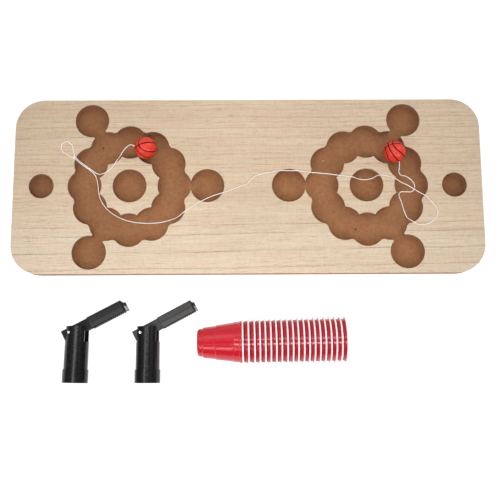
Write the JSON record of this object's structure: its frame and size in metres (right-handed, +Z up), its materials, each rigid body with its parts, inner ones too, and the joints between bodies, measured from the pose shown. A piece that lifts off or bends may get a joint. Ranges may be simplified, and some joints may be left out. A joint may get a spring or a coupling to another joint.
{
  "type": "tabletop beer pong set",
  "caption": "Tabletop beer pong set: a wooden board with routed cup pockets, a nested stack of mini cups, folding telescopic poles and mini balls on a string.",
  "frame": {"origin": "centre of the board's underside, on the surface that everything lies on", "axes": "+X along the board's length, +Y across it away from the player, +Z up out of the pockets"},
  "size_m": [0.4704, 0.2843, 0.045],
  "materials": {
    "veneer": "satin, pale straight grain",
    "mdf": "raw routed MDF",
    "post_black": "satin black",
    "arm_grey": "satin dark grey",
    "pin_steel": "turned",
    "cup_red": "gloss",
    "ball_orange": "satin",
    "string_white": "plied cord"
  },
  "bodies": {
    "board": {"board_core": "mdf", "top_veneer": "veneer", "bottom_veneer": "veneer"},
    "left_pole": {"left_post": "post_black", "left_hinge_pin": "pin_steel"},
    "left_arm": {"left_knuckle": "arm_grey", "left_sleeve": "arm_grey"},
    "left_middle": {"left_middle_stage": "arm_grey"},
    "left_tip": {"left_tip_stage": "arm_grey"},
    "right_pole": {"right_post": "post_black", "right_hinge_pin": "pin_steel"},
    "right_arm": {"right_knuckle": "arm_grey", "right_sleeve": "arm_grey"},
    "right_middle": {"right_middle_stage": "arm_grey"},
    "right_tip": {"right_tip_stage": "arm_grey"},
    "cup_01": {"cup_01": "cup_red"},
    "cup_02": {"cup_02": "cup_red"},
    "cup_03": {"cup_03": "cup_red"},
    "cup_04": {"cup_04": "cup_red"},
    "cup_05": {"cup_05": "cup_red"},
    "cup_06": {"cup_06": "cup_red"},
    "cup_07": {"cup_07": "cup_red"},
    "cup_08": {"cup_08": "cup_red"},
    "cup_09": {"cup_09": "cup_red"},
    "cup_10": {"cup_10": "cup_red"},
    "cup_11": {"cup_11": "cup_red"},
    "cup_12": {"cup_12": "cup_red"},
    "cup_13": {"cup_13": "cup_red"},
    "cup_14": {"cup_14": "cup_red"},
    "cup_15": {"cup_15": "cup_red"},
    "cup_16": {"cup_16": "cup_red"},
    "cup_17": {"cup_17": "cup_red"},
    "cup_18": {"cup_18": "cup_red"},
    "cup_19": {"cup_19": "cup_red"},
    "cup_20": {"cup_20": "cup_red"},
    "swing_line": {"left_string": "string_white", "right_string": "string_white", "ball_knot": "string_white", "loop_knot": "string_white", "middle_knot": "string_white"},
    "left_ball_body": {"left_ball": "ball_orange"},
    "right_ball_body": {"right_ball": "ball_orange"}
  },
  "joints": [
    {"name": "left_pole_lift", "type": "slide", "parent": "board", "child": "left_pole", "axis": [0, 0, 1], "range_m": [0, 0.12]},
    {"name": "left_arm_fold", "type": "hinge", "parent": "left_pole", "child": "left_arm", "pos_m": [-0.17305, -0.14604, 0.01145], "axis": [0.0005, 0.0243, 0.9997], "range_deg": [-18, 0]},
    {"name": "left_middle_slide", "type": "slide", "parent": "left_arm", "child": "left_middle", "axis": [0.8878, 0.4601, -0.0116], "range_m": [0, 0.024]},
    {"name": "left_tip_slide", "type": "slide", "parent": "left_middle", "child": "left_tip", "axis": [0.8878, 0.4601, -0.0116], "range_m": [0, 0.024]},
    {"name": "right_pole_lift", "type": "slide", "parent": "board", "child": "right_pole", "axis": [0, 0, 1], "range_m": [0, 0.12]},
    {"name": "right_arm_fold", "type": "hinge", "parent": "right_pole", "child": "right_arm", "pos_m": [-0.10445, -0.14661, 0.01145], "axis": [0, 0.0243, 0.9997], "range_deg": [-18, 0]},
    {"name": "right_middle_slide", "type": "slide", "parent": "right_arm", "child": "right_middle", "axis": [0.8829, 0.4693, -0.0114], "range_m": [0, 0.024]},
    {"name": "right_tip_slide", "type": "slide", "parent": "right_middle", "child": "right_tip", "axis": [0.8829, 0.4693, -0.0114], "range_m": [0, 0.024]},
    {"name": "stack_lift", "type": "slide", "parent": "board", "child": "cup_01", "axis": [0, 0, 1], "range_m": [0, 0.12]},
    {"name": "cup_02_pull", "type": "slide", "parent": "cup_01", "child": "cup_02", "axis": [0.9998, 0.0175, 0], "range_m": [0, 0.05]},
    {"name": "cup_03_pull", "type": "slide", "parent": "cup_02", "child": "cup_03", "axis": [0.9998, 0.0175, 0], "range_m": [0, 0.05]},
    {"name": "cup_04_pull", "type": "slide", "parent": "cup_03", "child": "cup_04", "axis": [0.9998, 0.0175, 0], "range_m": [0, 0.05]},
    {"name": "cup_05_pull", "type": "slide", "parent": "cup_04", "child": "cup_05", "axis": [0.9998, 0.0175, 0], "range_m": [0, 0.05]},
    {"name": "cup_06_pull", "type": "slide", "parent": "cup_05", "child": "cup_06", "axis": [0.9998, 0.0175, 0], "range_m": [0, 0.05]},
    {"name": "cup_07_pull", "type": "slide", "parent": "cup_06", "child": "cup_07", "axis": [0.9998, 0.0175, 0], "range_m": [0, 0.05]},
    {"name": "cup_08_pull", "type": "slide", "parent": "cup_07", "child": "cup_08", "axis": [0.9998, 0.0175, 0], "range_m": [0, 0.05]},
    {"name": "cup_09_pull", "type": "slide", "parent": "cup_08", "child": "cup_09", "axis": [0.9998, 0.0175, 0], "range_m": [0, 0.05]},
    {"name": "cup_10_pull", "type": "slide", "parent": "cup_09", "child": "cup_10", "axis": [0.9998, 0.0175, 0], "range_m": [0, 0.05]},
    {"name": "cup_11_pull", "type": "slide", "parent": "cup_10", "child": "cup_11", "axis": [0.9998, 0.0175, 0], "range_m": [0, 0.05]},
    {"name": "cup_12_pull", "type": "slide", "parent": "cup_11", "child": "cup_12", "axis": [0.9998, 0.0175, 0], "range_m": [0, 0.05]},
    {"name": "cup_13_pull", "type": "slide", "parent": "cup_12", "child": "cup_13", "axis": [0.9998, 0.0175, 0], "range_m": [0, 0.05]},
    {"name": "cup_14_pull", "type": "slide", "parent": "cup_13", "child": "cup_14", "axis": [0.9998, 0.0175, 0], "range_m": [0, 0.05]},
    {"name": "cup_15_pull", "type": "slide", "parent": "cup_14", "child": "cup_15", "axis": [0.9998, 0.0175, 0], "range_m": [0, 0.05]},
    {"name": "cup_16_pull", "type": "slide", "parent": "cup_15", "child": "cup_16", "axis": [0.9998, 0.0175, 0], "range_m": [0, 0.05]},
    {"name": "cup_17_pull", "type": "slide", "parent": "cup_16", "child": "cup_17", "axis": [0.9998, 0.0175, 0], "range_m": [0, 0.05]},
    {"name": "cup_18_pull", "type": "slide", "parent": "cup_17", "child": "cup_18", "axis": [0.9998, 0.0175, 0], "range_m": [0, 0.05]},
    {"name": "cup_19_pull", "type": "slide", "parent": "cup_18", "child": "cup_19", "axis": [0.9998, 0.0175, 0], "range_m": [0, 0.05]},
    {"name": "cup_20_pull", "type": "slide", "parent": "cup_19", "child": "cup_20", "axis": [0.9998, 0.0175, 0], "range_m": [0, 0.05]},
    {"name": "line_lift", "type": "slide", "parent": "board", "child": "swing_line", "axis": [0, 0, 1], "range_m": [0, 0.1]},
    {"name": "left_ball_spin", "type": "hinge", "parent": "swing_line", "child": "left_ball_body", "pos_m": [-0.103, 0.0383, 0.01505], "axis": [-0.9781, 0.2079, 0], "continuous": true},
    {"name": "right_ball_spin", "type": "hinge", "parent": "swing_line", "child": "right_ball_body", "pos_m": [0.1476, 0.0332, 0.01505], "axis": [0.454, -0.891, 0], "continuous": true}
  ]
}
